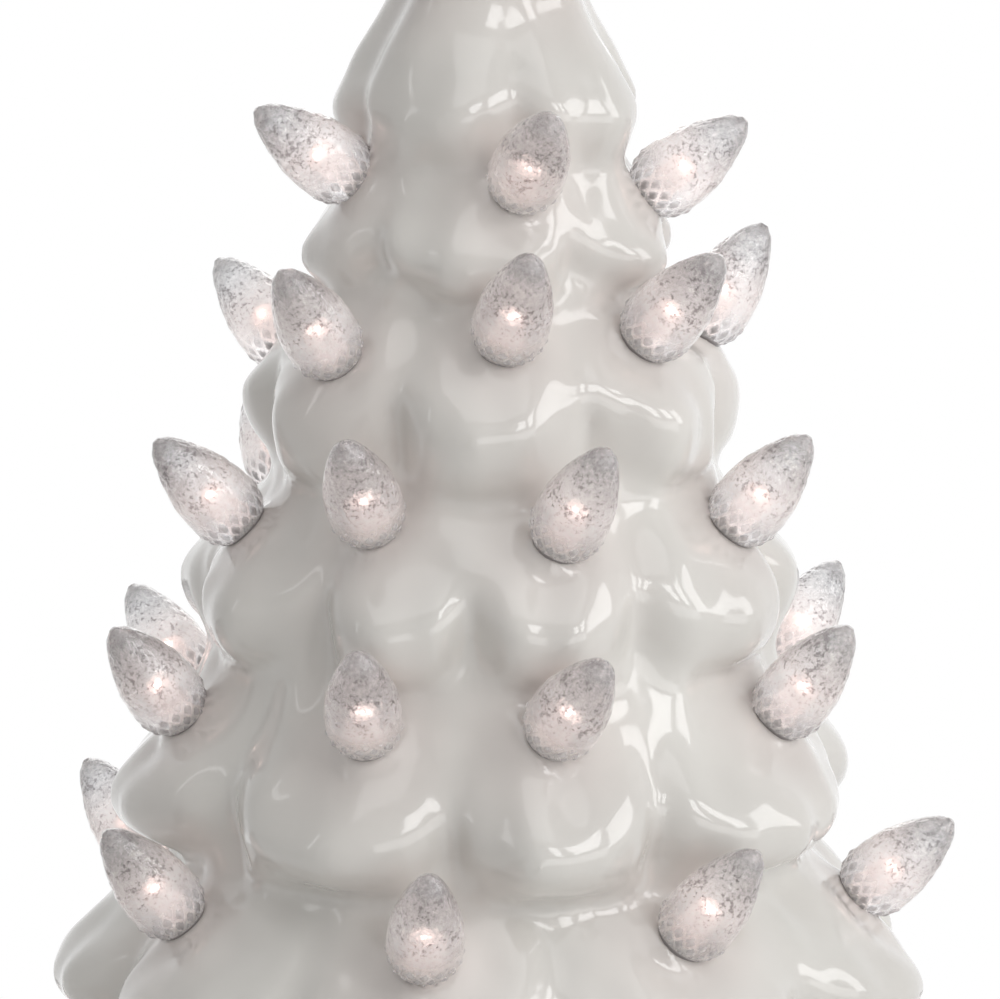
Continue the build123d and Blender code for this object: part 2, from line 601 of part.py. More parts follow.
with BuildPart() as tray_screws:
    with Locations(Plane.XY.offset(COVER_TOP + TRAY_FLANGE_HEIGHT)):
        with Locations(*[(sx * TRAY_SCREW_X, sy * TRAY_SCREW_Y) for sx in (-1, 1) for sy in (-1, 1)]):
            Cylinder(
                TRAY_SCREW_HEAD_RADIUS,
                TRAY_SCREW_HEAD_HEIGHT,
                align=(Align.CENTER, Align.CENTER, Align.MIN),
            )
            Cylinder(
                TRAY_SCREW_RADIUS,
                TRAY_FLANGE_HEIGHT + PILOT_DEPTH - PILOT_ROOM,
                align=(Align.CENTER, Align.CENTER, Align.MAX),
            )
tray_screws.part.label = "tray_screws"
export_step(tray_screws.part, "parts/tray_screws.step")

# AA cells, the middle one turned end for end
CELL_MIDDLES = [(place - (CELL_COUNT - 1) / 2) * CELL_PITCH for place in range(CELL_COUNT)]
with BuildPart() as aa_cells:
    for place, middle in enumerate(CELL_MIDDLES):
        facing = 1 if place % 2 == 0 else -1
        flat_end = -facing * (CELL_LENGTH + NUB_LENGTH) / 2
        with Locations(Plane(origin=(middle, flat_end, CELL_CENTRE), z_dir=(0, facing, 0))):
            Cylinder(CELL_RADIUS, CELL_LENGTH, align=(Align.CENTER, Align.CENTER, Align.MIN))
            Cylinder(NUB_RADIUS, CELL_LENGTH + NUB_LENGTH, align=(Align.CENTER, Align.CENTER, Align.MIN))
aa_cells.part.label = "aa_cells"
export_step(aa_cells.part, "parts/aa_cells.step")

# Contact strips: two jumpers between neighbouring cells and two terminals with a tab through the tray wall
BAY_END = BAY_LENGTH / 2
PAD_LENGTH = CONTACT_ROOM - CONTACT_THICKNESS


def contact(middle, end, width):
    """Flat strip on the bay's end wall, with a sprung pad out to each cell in front of it."""
    with BuildPart() as strip:
        with Locations((sum(middle) / len(middle), end * (BAY_END - CONTACT_THICKNESS / 2), CELL_CENTRE)):
            Box(width, CONTACT_THICKNESS, CONTACT_WIDTH)
        pad_y = end * (BAY_END - CONTACT_THICKNESS)
        with Locations(*[Plane(origin=(x, pad_y, CELL_CENTRE), z_dir=(0, -end, 0)) for x in middle]):
            Cone(CONTACT_WIDTH / 2, NUB_RADIUS, PAD_LENGTH, align=(Align.CENTER, Align.CENTER, Align.MIN))
    return strip.part


with BuildPart() as contact_jumpers:
    add(contact(CELL_MIDDLES[:2], -1, CELL_PITCH + CONTACT_WIDTH))
    add(contact(CELL_MIDDLES[1:], 1, CELL_PITCH + CONTACT_WIDTH))
contact_jumpers.part.label = "contact_jumpers"
export_step(contact_jumpers.part, "parts/contact_jumpers.step")

TAB_END = BAY_END + TRAY_WALL + TAB_REACH
with BuildPart() as contact_terminals:
    for middle, end in ((CELL_MIDDLES[0], 1), (CELL_MIDDLES[-1], -1)):
        add(contact([middle], end, CONTACT_WIDTH))
        with Locations((middle, end * (BAY_END + TAB_END) / 2, CELL_CENTRE)):
            Box(CONTACT_WIDTH / 3, TAB_END - BAY_END, 2 * CONTACT_THICKNESS)
contact_terminals.part.label = "contact_terminals"
export_step(contact_terminals.part, "parts/contact_terminals.step")

# Switch body with a pocket for its knob, soldered under the board
with BuildPart() as switch_body:
    with Locations((BOARD_X, 0, COVER_TOP)):
        Box(SWITCH_WIDTH, SWITCH_LENGTH, SWITCH_HEIGHT, align=(Align.CENTER, Align.CENTER, Align.MIN))
        Box(
            KNOB_WIDTH + 2 * (KNOB_FLANGE + KNOB_CLEARANCE),
            KNOB_LENGTH + 2 * (KNOB_TRAVEL + KNOB_CLEARANCE),
            KNOB_FLANGE_HEIGHT + 2 * KNOB_CLEARANCE,
            align=(Align.CENTER, Align.CENTER, Align.MIN),
            mode=Mode.SUBTRACT,
        )
switch_body.part.label = "switch_body"
export_step(switch_body.part, "parts/switch_body.step")

# Switch knob: a ridged finger tip under the cover, held by its flange inside the switch
with BuildPart() as switch_knob:
    with Locations((BOARD_X, 0, COVER_BOTTOM - KNOB_PROUD)):
        Box(
            KNOB_WIDTH,
            KNOB_LENGTH,
            COVER_THICKNESS + KNOB_PROUD + KNOB_CLEARANCE,
            align=(Align.CENTER, Align.CENTER, Align.MIN),
        )
    with Locations((BOARD_X, 0, COVER_TOP + KNOB_CLEARANCE)):
        Box(
            KNOB_WIDTH + 2 * KNOB_FLANGE,
            KNOB_LENGTH,
            KNOB_FLANGE_HEIGHT,
            align=(Align.CENTER, Align.CENTER, Align.MIN),
        )
    with Locations((BOARD_X, 0, COVER_BOTTOM - KNOB_PROUD)):
        with GridLocations(0, KNOB_LENGTH / 2, 1, 2):
            Box(KNOB_WIDTH, KNOB_LENGTH / 6, KNOB_PROUD / 2, mode=Mode.SUBTRACT)
switch_knob.part.label = "switch_knob"
export_step(switch_knob.part, "parts/switch_knob.step")

# Control board on the cover's bosses, its screws and its timer chip
BOSSES = [(BOARD_X + sx * BOSS_X, sy * BOSS_Y) for sx in (-1, 1) for sy in (-1, 1)]
with BuildPart() as control_board:
    with BuildSketch(Plane.XY.offset(BOARD_BOTTOM)):
        with Locations((BOARD_X, 0)):
            RectangleRounded(BOARD_WIDTH, BOARD_LENGTH, BOARD_THICKNESS)
        with Locations(*BOSSES):
            Circle(TRAY_SCREW_RADIUS + SCREW_CLEARANCE, mode=Mode.SUBTRACT)
    extrude(amount=BOARD_THICKNESS)
control_board.part.label = "control_board"
export_step(control_board.part, "parts/control_board.step")

with BuildPart() as board_screws:
    with Locations(Plane.XY.offset(BOARD_TOP)):
        with Locations(*BOSSES):
            Cylinder(
                TRAY_SCREW_HEAD_RADIUS,
                TRAY_SCREW_HEAD_HEIGHT,
                align=(Align.CENTER, Align.CENTER, Align.MIN),
            )
            Cylinder(
                TRAY_SCREW_RADIUS,
                BOARD_THICKNESS + SWITCH_HEIGHT - 2 * PILOT_ROOM,
                align=(Align.CENTER, Align.CENTER, Align.MAX),
            )
board_screws.part.label = "board_screws"
export_step(board_screws.part, "parts/board_screws.step")

with BuildPart() as timer_chip:
    with Locations((BOARD_X, CHIP_Y, BOARD_TOP)):
        Box(*CHIP_SIZE, align=(Align.CENTER, Align.CENTER, Align.MIN))
    chamfer(timer_chip.faces().sort_by(Axis.Z)[-1].edges(), CHIP_SIZE[2] / 4)
timer_chip.part.label = "timer_chip"
export_step(timer_chip.part, "parts/timer_chip.step")


def battery_lead(middle, end):
    """Wire from a terminal's tab round the tray to the board."""
    pad_x = BOARD_X - BOARD_WIDTH / 2 + 2 * LEAD_BEND
    turn_x = BAY_WIDTH / 2 + TRAY_WALL + 2 * LEAD_BEND
    arch = BOARD_TOP + 2 * LEAD_BEND
    far = TAB_END + 2 * LEAD_BEND
    stops = [
        (middle, end * TAB_END, CELL_CENTRE),
        (middle, end * far, CELL_CENTRE),
        (turn_x, end * far, CELL_CENTRE),
        (pad_x, end * BOARD_LENGTH / 4, arch),
        (pad_x, end * BOARD_LENGTH / 4, BOARD_TOP),
    ]
    with BuildPart() as wire:
        with BuildLine() as route:
            FilletPolyline(*stops, radius=LEAD_BEND)
        with BuildSketch(Plane(origin=route.line @ 0, z_dir=route.line % 0)):
            Circle(LEAD_RADIUS)
        sweep()
    return wire.part


with BuildPart() as battery_leads:
    add(battery_lead(CELL_MIDDLES[0], 1))
    add(battery_lead(CELL_MIDDLES[-1], -1))
battery_leads.part.label = "battery_leads"
export_step(battery_leads.part, "parts/battery_leads.step")
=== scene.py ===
import json
from math import atan2, cos, exp, floor, pi, radians, sin

import bmesh
import bpy
import numpy as np
from mathutils import Matrix, Vector, noise


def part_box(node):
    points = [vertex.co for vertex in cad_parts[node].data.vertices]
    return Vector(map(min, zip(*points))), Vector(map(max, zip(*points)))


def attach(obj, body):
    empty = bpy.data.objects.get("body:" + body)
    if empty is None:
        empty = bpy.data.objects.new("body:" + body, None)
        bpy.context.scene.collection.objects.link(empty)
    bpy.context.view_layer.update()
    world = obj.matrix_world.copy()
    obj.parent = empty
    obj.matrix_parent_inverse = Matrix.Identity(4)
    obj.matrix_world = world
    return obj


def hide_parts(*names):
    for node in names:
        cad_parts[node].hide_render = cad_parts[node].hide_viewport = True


# Lighted ceramic table tree: glazed shell and base, crackled clear bulbs with a lamp in each, clear star
# Metres, in the frame of the CAD model: +Z up, front towards -Y

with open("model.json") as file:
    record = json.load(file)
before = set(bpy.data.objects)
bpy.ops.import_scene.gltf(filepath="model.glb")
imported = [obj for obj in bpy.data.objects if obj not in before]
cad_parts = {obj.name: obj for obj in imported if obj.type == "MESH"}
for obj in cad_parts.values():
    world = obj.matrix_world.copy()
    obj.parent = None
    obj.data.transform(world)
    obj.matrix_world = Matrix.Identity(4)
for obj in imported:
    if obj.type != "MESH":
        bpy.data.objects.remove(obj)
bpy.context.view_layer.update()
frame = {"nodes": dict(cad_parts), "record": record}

# Tiers: bearings of the CAD lobes in degrees from the front, heights of the neck, the lip and the foot
TIERS = {
    "crown": ((-95, -32, 54, 125, 192), 0.310, 0.258, 0.249),
    "second": ((-160, -115, -72, -30, 2, 42, 112, 160), 0.249, 0.231, 0.224),
    "third": ((-138, -92, -44, 2, 42, 85, 130, 176), 0.224, 0.201, 0.187),
    "fourth": ((-155, -105, -55, -18, 10, 52, 105, 155), 0.187, 0.163, 0.151),
    "fifth": ((-165, -122, -78, -23, 10, 48, 122, 160), 0.151, 0.122, 0.112),
    "sixth": ((-160, -122, -85, -48, -10, 30, 74, 116, 158), 0.112, 0.085, 0.076),
    "skirt": (tuple(range(-144, 181, 36)), 0.076, 0.048, 0.036),
}
# Tiers whose lobes run together into broader ones under the glaze
BROAD_LOBES = {
    "second": (-136, -76, -4, 60, 118, 172),
    "third": (-154, -103, -52, 0, 52, 103, 154),
}

# Glazed surfaces
BODY_VOXEL = 0.0014
BODY_ROUNDS = 6
GLAZE_VOXEL = 0.0012
GLAZE_ROUNDS = 12
BASE_ROUNDS = 8
RELAX_FACTOR = 0.5
LOBE_DEPTH = 0.12
LOBE_SAG = 0.0050
CREASE_PRESS = 0.0022
FOLD_WIDTH = 0.010
FOLD_LENGTH = 0.050
FOLD_DEPTH = 0.0026
SWELL_SIZE = 0.040
SWELL_DEPTH = 0.0012
# Painted light: reach and strength of the bulbs' pink glow painted onto the glaze round each seat
PAINTED_SPILL_REACH = 0.017
PAINTED_SPILL_MOST = 0.45
# Shares of the way from neck to foot where a tier's glaze starts to hang, hangs fully and ends
HANG_START = 0.12
HANG_PAST_LIP = 0.1
HANG_END = 0.9
# Shares of the way from crease to lobe where the height and the radius stay as they are
LEVEL_SHARE = 0.85
PRESS_SHARE = 0.9
# Rounds of the crown that swell or shrink: height, reach and change of radius
CROWN_FLARE = ((0.278, 0.010, -0.0018), (0.259, 0.004, 0.0014))
# Plugs under and rings round the bulbs' seats
BOSS_RADIUS = 0.0062
BOSS_SINK = 0.0045
BOSS_SIDES = 32
CLAY_RISE = 0.0013
GLAZE_RISE = 0.0016

# Star
STAR_VOXEL = 0.0005
STAR_ROUNDS = 3
STAR_REACH = 0.020
STAR_GLOW_REACH = 0.011
STAR_GRAIN = 0.35

# Bulbs, measured from the seat along the axis
STEM_LENGTH = 0.009
BULB_PROFILE = (
    (0.0000, 0.0052), (0.0018, 0.0053), (0.0028, 0.0063), (0.0056, 0.0073), (0.0094, 0.0077),
    (0.0142, 0.0072), (0.0192, 0.0056), (0.0232, 0.0038), (0.0256, 0.0024), (0.0267, 0.0004),
)
PROFILE_EASE = 0.0008
EASE_STEPS = (-1, -0.5, 0, 0.5, 1)
BULB_SIDES = 114
BULB_RINGS = 90
BULB_TOP = BULB_PROFILE[-1][0]
COLLAR_TOP = 0.0018
QUILT_TOP = 0.0082
# Heights between which each zone of a bulb comes in or goes out
COLLAR_OUT = (0.9 * COLLAR_TOP, 1.2 * COLLAR_TOP)
QUILT_IN = (COLLAR_TOP, 1.3 * COLLAR_TOP)
QUILT_OUT = (0.75 * QUILT_TOP, 1.1 * QUILT_TOP)
PITS_IN = (QUILT_TOP, 1.8 * QUILT_TOP)
PITS_OUT = (0.80 * BULB_TOP, 0.97 * BULB_TOP)
TIP_IN = (0.78 * BULB_TOP, 0.97 * BULB_TOP)
# Facets of the quilted foot, and the dark reflections painted on them
QUILT_SIDES = 16
QUILT_ROWS = 3
QUILT_DEPTH = 0.00055
QUILT_SHADE = 0.85
SHADE_FULL = 0.4
FACET_LEAST = 0.35
FACET_RIM = (0.22, 0.50)
# Pits of the flank, by size and depth, and the smoother tip with its painted shade
PITS = ((0.0011, 0.00034), (0.0026, 0.00030))
PIT_WIDTH = 0.35
TIP_CALM = 0.8
TIP_SHADE = 0.28
# Glow of the lamp in the plastic, least grain, turn from one bulb to the next
GLOW_HEIGHT = 0.0120
GLOW_REACH = 0.0060
GRAIN_LEAST = 0.14
COPY_TURN = 2.4

# Lamp in each bulb, with balls of light in it by radius and level
LAMP_FOOT = 0.003
LAMP_RADIUS = 0.0024
LAMP_STRAIGHT = 0.0075
SPARK_HEIGHT = 0.0113
SPARKS = ((0.0015, 0.02), (0.0008, 0.05), (0.00035, 1.0))
LAMP_SIDES = 24
LAMP_RINGS = 8


def smooth_step(low, high, value):
    """0 below low, 1 above high, with an even turn between, for a number or a row of them."""
    share = np.clip((value - low) / (high - low), 0.0, 1.0)
    return share * share * (3 - 2 * share)


def round_point(radius, turn, height):
    """Point at a radius, a turn and a height round the Z axis."""
    return Vector((radius * cos(turn), radius * sin(turn), height))


def islands(node):
    """Points of each separate solid of a CAD node."""
    mesh = bmesh.new()
    mesh.from_mesh(frame["nodes"][node].data)
    bmesh.ops.remove_doubles(mesh, verts=mesh.verts, dist=1e-6)
    seen = set()
    groups = []
    for start in mesh.verts:
        if start in seen:
            continue
        seen.add(start)
        waiting = [start]
        group = []
        while waiting:
            point = waiting.pop()
            group.append(point.co.copy())
            for link in point.link_edges:
                other = link.other_vert(point)
                if other not in seen:
                    seen.add(other)
                    waiting.append(other)
        groups.append(np.array(group))
    mesh.free()
    return groups


def bulb_seats(node):
    """Frame of each bulb of a CAD node: origin at its seat, Z along the bulb."""
    seats = []
    for cloud in islands(node):
        centre = cloud.mean(axis=0)
        axis = np.linalg.svd(cloud - centre, full_matrices=False)[2][0]
        axis = axis if axis[2] > 0 else -axis
        foot = ((cloud - centre) @ axis).min()
        turn = Vector(axis).to_track_quat("Z", "Y").to_matrix().to_4x4()
        seats.append(Matrix.Translation(Vector(centre + axis * (foot + STEM_LENGTH))) @ turn)
    return sorted(seats, key=lambda seat: atan2(seat.translation.x, -seat.translation.y))


SEATS = {tier: bulb_seats(f"bulbs_{tier}") for tier in TIERS}
ALL_SEATS = [seat for seats in SEATS.values() for seat in seats]


def set_values(shader, values):
    """Sets a shader's sockets by name."""
    for socket, value in values.items():
        shader.inputs[socket].default_value = value


def new_material(name, values):
    """Principled material with its even values on the shader's own sockets."""
    material = bpy.data.materials.new(name)
    material.use_nodes = True
    shader = material.node_tree.nodes["Principled BSDF"]
    set_values(shader, values)
    return material, material.node_tree, shader


def add_node(tree, kind, values=None, **settings):
    """Node of a kind with its settings and socket values."""
    node = tree.nodes.new(kind)
    for setting, value in settings.items():
        setattr(node, setting, value)
    set_values(node, values or {})
    return node


def add_noise(tree, scale, detail=3.0, roughness=0.5):
    """Noise over the object's own coordinates."""
    place = add_node(tree, "ShaderNodeTexCoord")
    values = {"Scale": scale, "Detail": detail, "Roughness": roughness}
    texture = add_node(tree, "ShaderNodeTexNoise", values)
    tree.links.new(place.outputs["Object"], texture.inputs["Vector"])
    return texture.outputs["Fac"]


def add_attribute(tree, name):
    """Value that a mesh holds at its points."""
    return add_node(tree, "ShaderNodeAttribute", attribute_name=name).outputs["Fac"]


def add_math(tree, operation, *terms, **settings):
    """Result of an operation on sockets and plain numbers."""
    node = add_node(tree, "ShaderNodeMath", operation=operation, **settings)
    for socket, term in zip(node.inputs, terms):
        if isinstance(term, float):
            socket.default_value = term
        else:
            tree.links.new(term, socket)
    return node.outputs["Value"]


def add_range(tree, factor, at_zero, at_one):
    """Number that goes evenly from one value to another as a factor goes from 0 to 1."""
    span = add_node(tree, "ShaderNodeMapRange", {"To Min": at_zero, "To Max": at_one})
    tree.links.new(factor, span.inputs["Value"])
    return span.outputs["Result"]


def add_ramp(tree, factor, low, high):
    """Colour between two stops by a factor."""
    ramp = add_node(tree, "ShaderNodeValToRGB")
    for element, (position, colour) in zip(ramp.color_ramp.elements, (low, high)):
        element.position = position
        element.color = (*colour, 1)
    tree.links.new(factor, ramp.inputs["Fac"])
    return ramp.outputs["Color"]


def add_mix(tree, factor, first, second, blend="MIX"):
    """Blend by a factor of one colour with another, which is a socket or an even colour."""
    mix = add_node(tree, "ShaderNodeMix", data_type="RGBA", blend_type=blend)
    tree.links.new(factor, mix.inputs["Factor"])
    tree.links.new(first, mix.inputs["A"])
    if isinstance(second, tuple):
        mix.inputs["B"].default_value = (*second, 1)
    else:
        tree.links.new(second, mix.inputs["B"])
    return mix.outputs["Result"]


def add_bump(tree, shader, height, strength, distance):
    """Fine relief from a height."""
    bump = add_node(tree, "ShaderNodeBump", {"Strength": strength, "Distance": distance})
    tree.links.new(height, bump.inputs["Height"])
    tree.links.new(bump.outputs["Normal"], shader.inputs["Normal"])


def glaze_material():
    """Warm white glaze: slight cloudiness, the bulbs' pink light painted onto it round each seat, a faint
    ripple.
    """
    material, tree, shader = new_material("glaze", {
        "Roughness": 0.13, "IOR": 1.45, "Coat Weight": 0.75, "Coat Roughness": 0.02, "Coat IOR": 1.42,
    })
    cloud = add_noise(tree, scale=28.0)
    tone = add_ramp(tree, cloud, (0.3, (0.66, 0.642, 0.608)), (0.7, (0.74, 0.726, 0.688)))
    # Painted light: the bulbs' pink glow mixed into the glaze colour near each seat
    tone_with_painted_glow = add_mix(tree, add_attribute(tree, "painted_bulb_glow"), tone, (0.74, 0.64, 0.61))
    tree.links.new(tone_with_painted_glow, shader.inputs["Base Color"])
    ripple = add_noise(tree, scale=90.0, detail=2.0)
    add_bump(tree, shader, ripple, strength=0.05, distance=0.002)
    return material


PATCH_SHARE = 0.4
GLOW_STRENGTH = 0.07


def crackle_material(name, dim_tone, lit_tone, glow_tone):
    """Clear crackled plastic: fine dark and pale flakes, painted dark reflections on the foot, painted
    shade on the tip, a soft glow round its lamp.
    """
    material, tree, shader = new_material(name, {
        "Roughness": 0.05, "IOR": 1.30, "Coat Weight": 1.0, "Coat IOR": 1.5, "Coat Roughness": 0.05,
        "Emission Color": (*glow_tone, 1),
    })
    glow = add_attribute(tree, "glow")
    shade = add_attribute(tree, "shade")
    flakes = add_noise(tree, scale=1150.0, detail=3.0, roughness=0.7)
    patches = add_noise(tree, scale=260.0, detail=2.0)
    uneven = add_math(tree, "MULTIPLY_ADD", patches, PATCH_SHARE, flakes)
    dark = add_ramp(tree, uneven, (0.55, (0.22, 0.20, 0.205)), (0.67, (1, 1, 1)))
    pale = add_ramp(tree, uneven, (0.74, (0, 0, 0)), (0.81, (1, 1, 1)))
    tone = add_ramp(tree, glow, (0.1, dim_tone), (0.8, lit_tone))
    speckled = add_mix(tree, add_attribute(tree, "grain"), tone, dark, "MULTIPLY")
    flaked = add_mix(tree, pale, speckled, (0.97, 0.96, 0.96))
    # Painted dark reflections on the foot and painted shade on the tip, darker and less clear; the collar
    # dark partly by its own colour, partly by painted shadow
    with_painted_shade = add_mix(tree, shade, flaked, (0.19, 0.17, 0.168))
    tree.links.new(with_painted_shade, shader.inputs["Base Color"])
    clear = add_range(tree, glow, at_zero=0.92, at_one=0.66)
    see_through = add_math(tree, "SUBTRACT", clear, shade, use_clamp=True)
    tree.links.new(see_through, shader.inputs["Transmission Weight"])
    strength = add_math(tree, "MULTIPLY", glow, GLOW_STRENGTH)
    tree.links.new(strength, shader.inputs["Emission Strength"])
    add_bump(tree, shader, flakes, strength=0.7, distance=0.0004)
    return material


def lamp_material():
    """Lamp: a faintly lit clear lens with a bright spark in it."""
    material, tree, shader = new_material("led_lens", {
        "Base Color": (0.96, 0.88, 0.86, 1), "Roughness": 0.2, "IOR": 1.05,
        "Emission Color": (1.0, 0.90, 0.86, 1),
    })
    glow = add_attribute(tree, "glow")
    strength = add_range(tree, glow, at_zero=0.10, at_one=5.5)
    clear = add_range(tree, glow, at_zero=0.85, at_one=0.0)
    tree.links.new(strength, shader.inputs["Emission Strength"])
    tree.links.new(clear, shader.inputs["Transmission Weight"])
    return material


GLOSS_SPREAD = 0.06


def plain_material(name, low, high, roughness, metallic=0.0, scale=400.0, relief=0.1):
    """Moulded or metal finish: two close tones, uneven gloss and a fine relief."""
    material, tree, shader = new_material(name, {"Metallic": metallic})
    grain = add_noise(tree, scale)
    tone = add_ramp(tree, grain, (0.35, low), (0.65, high))
    tree.links.new(tone, shader.inputs["Base Color"])
    gloss = add_range(tree, grain, roughness - GLOSS_SPREAD, roughness + GLOSS_SPREAD)
    tree.links.new(gloss, shader.inputs["Roughness"])
    add_bump(tree, shader, grain, strength=relief, distance=0.0004)
    return material


GLAZE = glaze_material()
BULB_CLEAR = crackle_material("bulb_clear", (0.72, 0.72, 0.735), (0.97, 0.92, 0.91), (1.0, 0.82, 0.78))
STAR_CLEAR = crackle_material("star_clear", (0.90, 0.89, 0.89), (0.92, 0.87, 0.86), (1.0, 0.86, 0.82))
LAMP = lamp_material()
FINISHES = {"glaze": GLAZE, "bulb_clear": BULB_CLEAR, "star_clear": STAR_CLEAR, "led_lens": LAMP}

# Plain finishes: darker and paler tone, roughness, and where they differ metallic, grain scale and relief
PLAIN_FINISHES = {
    "silicone": ((0.62, 0.61, 0.59), (0.70, 0.69, 0.67), 0.55),
    "foot_rubber": ((0.020, 0.020, 0.021), (0.035, 0.035, 0.036), 0.75),
    "socket_plastic": ((0.70, 0.69, 0.66), (0.78, 0.77, 0.74), 0.45),
    "wire_jacket": ((0.68, 0.68, 0.66), (0.76, 0.76, 0.74), 0.5),
    "lead_jacket": ((0.42, 0.02, 0.02), (0.50, 0.03, 0.03), 0.5),
    "insert_brass": ((0.66, 0.46, 0.18), (0.76, 0.55, 0.24), 0.3, 1.0),
    "screw_steel": ((0.52, 0.52, 0.53), (0.62, 0.62, 0.63), 0.3, 1.0),
    "cover_plastic": ((0.62, 0.61, 0.59), (0.68, 0.67, 0.65), 0.5),
    "tray_plastic": ((0.045, 0.045, 0.047), (0.065, 0.065, 0.068), 0.5),
    "cell_jacket": ((0.10, 0.11, 0.12), (0.15, 0.16, 0.17), 0.3, 0.4, 60.0, 0.03),
    "contact_metal": ((0.60, 0.60, 0.58), (0.72, 0.72, 0.70), 0.25, 1.0),
    "switch_plastic": ((0.03, 0.03, 0.032), (0.05, 0.05, 0.052), 0.45),
    "knob_plastic": ((0.05, 0.05, 0.053), (0.08, 0.08, 0.083), 0.5),
    "board_laminate": ((0.02, 0.12, 0.05), (0.04, 0.18, 0.08), 0.4),
    "chip_plastic": ((0.02, 0.02, 0.022), (0.04, 0.04, 0.042), 0.55),
}
for name, look in PLAIN_FINISHES.items():
    FINISHES[name] = plain_material(name, *look)

# Finish of each CAD node, from its slot in the record
for row in frame["record"]["subparts"]:
    slots = frame["nodes"][row["node"]].data.materials
    slots.clear()
    slots.append(FINISHES[row["material_slot"]])


def soft_copy(source, name, voxel, rounds, material, extra=()):
    """Voxel copy of a mesh joined with extra round plugs, with its edges rounded off."""
    joined = bmesh.new()
    joined.from_mesh(source)
    for place, radius, depth in extra:
        bmesh.ops.create_cone(
            joined, cap_ends=True, segments=BOSS_SIDES, radius1=radius, radius2=radius, depth=depth,
            matrix=place,
        )
    rough = bpy.data.meshes.new(name + "_rough")
    joined.to_mesh(rough)
    joined.free()
    holder = bpy.data.objects.new(name + "_rough", rough)
    bpy.context.scene.collection.objects.link(holder)
    remesh = holder.modifiers.new("voxels", "REMESH")
    remesh.mode = "VOXEL"
    remesh.voxel_size = voxel
    relax = holder.modifiers.new("relax", "SMOOTH")
    relax.factor = RELAX_FACTOR
    relax.iterations = rounds
    graph = bpy.context.evaluated_depsgraph_get()
    mesh = bpy.data.meshes.new_from_object(holder.evaluated_get(graph))
    bpy.data.objects.remove(holder)
    mesh.name = name
    mesh.polygons.foreach_set("use_smooth", [True] * len(mesh.polygons))
    mesh.materials.clear()
    mesh.materials.append(material)
    return mesh


def read_points(mesh):
    """Points of a mesh as rows."""
    points = np.zeros(len(mesh.vertices) * 3)
    mesh.vertices.foreach_get("co", points)
    return points.reshape(-1, 3)


def put_attribute(mesh, name, values):
    """Value at each point of a mesh, for its material."""
    attribute = mesh.attributes.new(name, "FLOAT", "POINT")
    attribute.data.foreach_set("value", np.asarray(values, dtype=np.float32))


def formed_mesh(name, form, material):
    """Smooth mesh of a form's points and faces, with the form's values at its points."""
    points, faces, values = form
    mesh = bpy.data.meshes.new(name)
    mesh.from_pydata([tuple(point) for point in points], [], faces)
    mesh.polygons.foreach_set("use_smooth", [True] * len(mesh.polygons))
    mesh.materials.append(material)
    for attribute, row in values.items():
        put_attribute(mesh, attribute, row)
    return mesh


def stand_in(mesh, node, body):
    """Piece made of a mesh that rides on a body in place of a CAD node."""
    piece = bpy.data.objects.new(mesh.name, mesh)
    bpy.context.scene.collection.objects.link(piece)
    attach(piece, body)
    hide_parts(node)


def lobe_share(bearings, lobes):
    """1 down the middle of a lobe and 0 in the crease beside it, for a row of bearings."""
    stops, heights = [], []
    for here, after in zip(lobes, lobes[1:] + (lobes[0] + 360,)):
        stops += [here, (here + after) / 2]
        heights += [1.0, 0.0]
    share = np.interp(bearings, stops, heights, period=360)
    return 1 - (1 - share) ** 2


def drape(points):
    """Runs lobes together, lifts and presses the creases and lays soft folds down the slopes."""
    x, y, z = points.T
    bearings = np.degrees(np.arctan2(x, -y))
    radius = np.maximum(np.hypot(x, y), FOLD_WIDTH)
    lift = np.zeros(len(points))
    grow = np.zeros(len(points))
    for tier, (lobes, neck, lip, foot) in TIERS.items():
        down = np.clip((neck - z) / (neck - foot), 0.0, 1.0)
        full = (neck - lip) / (neck - foot) + HANG_PAST_LIP
        hang = smooth_step(HANG_START, full, down) * (1 - smooth_step(HANG_END, 1.0, down))
        lobe = lobe_share(bearings, BROAD_LOBES.get(tier, lobes))
        lift += hang * (LEVEL_SHARE - lobe)
        grow += hang * LOBE_DEPTH * radius * (lobe - lobe_share(bearings, lobes))
        grow += hang * CREASE_PRESS * (lobe - PRESS_SHARE)
    for height, reach, change in CROWN_FLARE:
        grow += change * np.exp(-(((z - height) / reach) ** 2))
    stretch = Vector((1 / FOLD_WIDTH, 1 / FOLD_WIDTH, 1 / FOLD_LENGTH))
    fold = np.array([noise.noise(Vector(point) * stretch) for point in points])
    swell = np.array([noise.noise(Vector(point) / SWELL_SIZE) for point in points])
    grow += FOLD_DEPTH * fold + SWELL_DEPTH * swell
    moved = points.copy()
    moved[:, :2] *= (1 + grow / radius)[:, None]
    moved[:, 2] += LOBE_SAG * lift
    return moved


def plugs(rise):
    """Short round plug at each bulb's seat, from under the glaze up to a rise above the seat."""
    middle = Matrix.Translation((0, 0, (rise - BOSS_SINK) / 2))
    return [(seat @ middle, BOSS_RADIUS, rise + BOSS_SINK) for seat in ALL_SEATS]


# Glazed shell: draped clay, then glaze with a raised ring round each bulb and its pink light painted round
# it
tree_shell = frame["nodes"]["tree_shell"].data
clay = soft_copy(tree_shell, "clay", BODY_VOXEL, BODY_ROUNDS, GLAZE, plugs(CLAY_RISE))
clay.vertices.foreach_set("co", drape(read_points(clay)).ravel())
shell = soft_copy(clay, "glazed_shell", GLAZE_VOXEL, GLAZE_ROUNDS, GLAZE, plugs(GLAZE_RISE))
bpy.data.meshes.remove(clay)
shell_points = read_points(shell)
nearest = np.full(len(shell_points), np.inf)
for seat in ALL_SEATS:
    nearest = np.minimum(nearest, np.linalg.norm(shell_points - np.array(seat.translation), axis=1))
